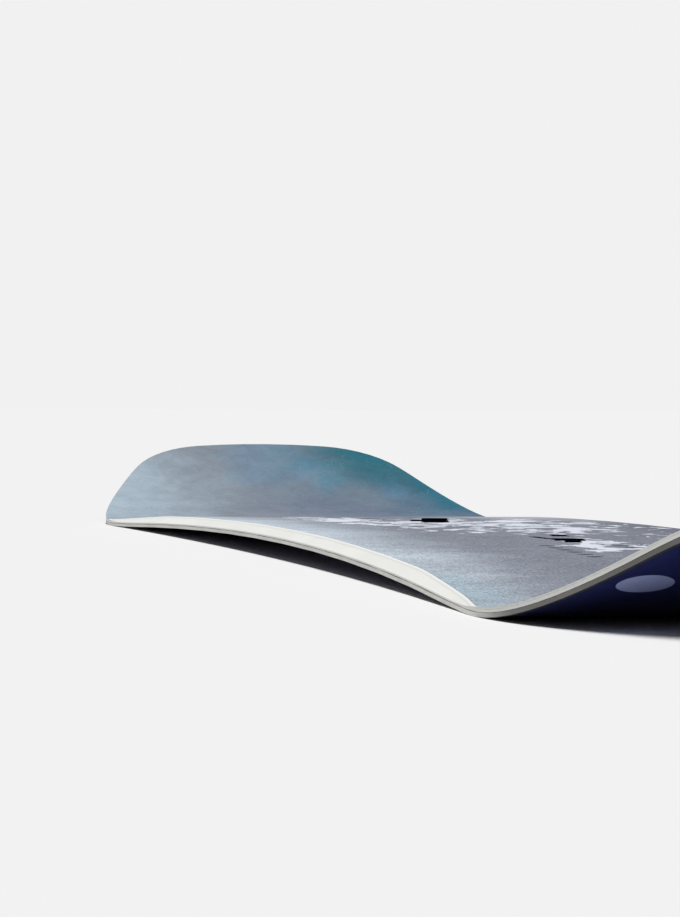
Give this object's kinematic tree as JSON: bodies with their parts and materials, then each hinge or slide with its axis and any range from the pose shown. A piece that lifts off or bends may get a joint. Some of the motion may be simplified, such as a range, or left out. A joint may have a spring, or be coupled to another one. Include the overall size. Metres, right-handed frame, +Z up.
{
  "type": "snowboard",
  "caption": "Cambered twin-tip snowboard with steel edges, bevelled white sidewalls, laminated wood core and threaded insert packs for bindings.",
  "frame": {"origin": "on the ground midway between the contact lines, under the centre of the board", "axes": "+X along the board towards the nose, +Y to its left, +Z up from the base to the topsheet"},
  "size_m": [1.5784, 0.2868, 0.0569],
  "materials": {
    "navy_polyethylene": "polished",
    "pale_polyethylene": "polished",
    "edge_steel": "satin",
    "black_rubber": "matte",
    "glass_laminate": "satin",
    "poplar_core": "sanded",
    "white_abs": "milled",
    "printed_topsheet": "fine grain",
    "insert_steel": "turned"
  },
  "bodies": {
    "root": {"base_sheet": "navy_polyethylene", "base_inlay_tail": "pale_polyethylene", "steel_edge_left": "edge_steel", "steel_edge_right": "edge_steel", "rubber_foil_left": "black_rubber", "rubber_foil_right": "black_rubber", "lower_glass": "glass_laminate", "core_centre": "poplar_core", "core_inner_left": "poplar_core", "core_inner_right": "poplar_core", "core_middle_left": "poplar_core", "core_middle_right": "poplar_core", "core_outer_left": "poplar_core", "core_outer_right": "poplar_core", "sidewall_left": "white_abs", "sidewall_right": "white_abs", "tip_spacer_nose": "white_abs", "tip_spacer_tail": "white_abs", "upper_glass": "glass_laminate", "topsheet": "printed_topsheet", "inserts_front": "insert_steel", "inserts_rear": "insert_steel"}
  },
  "joints": []
}
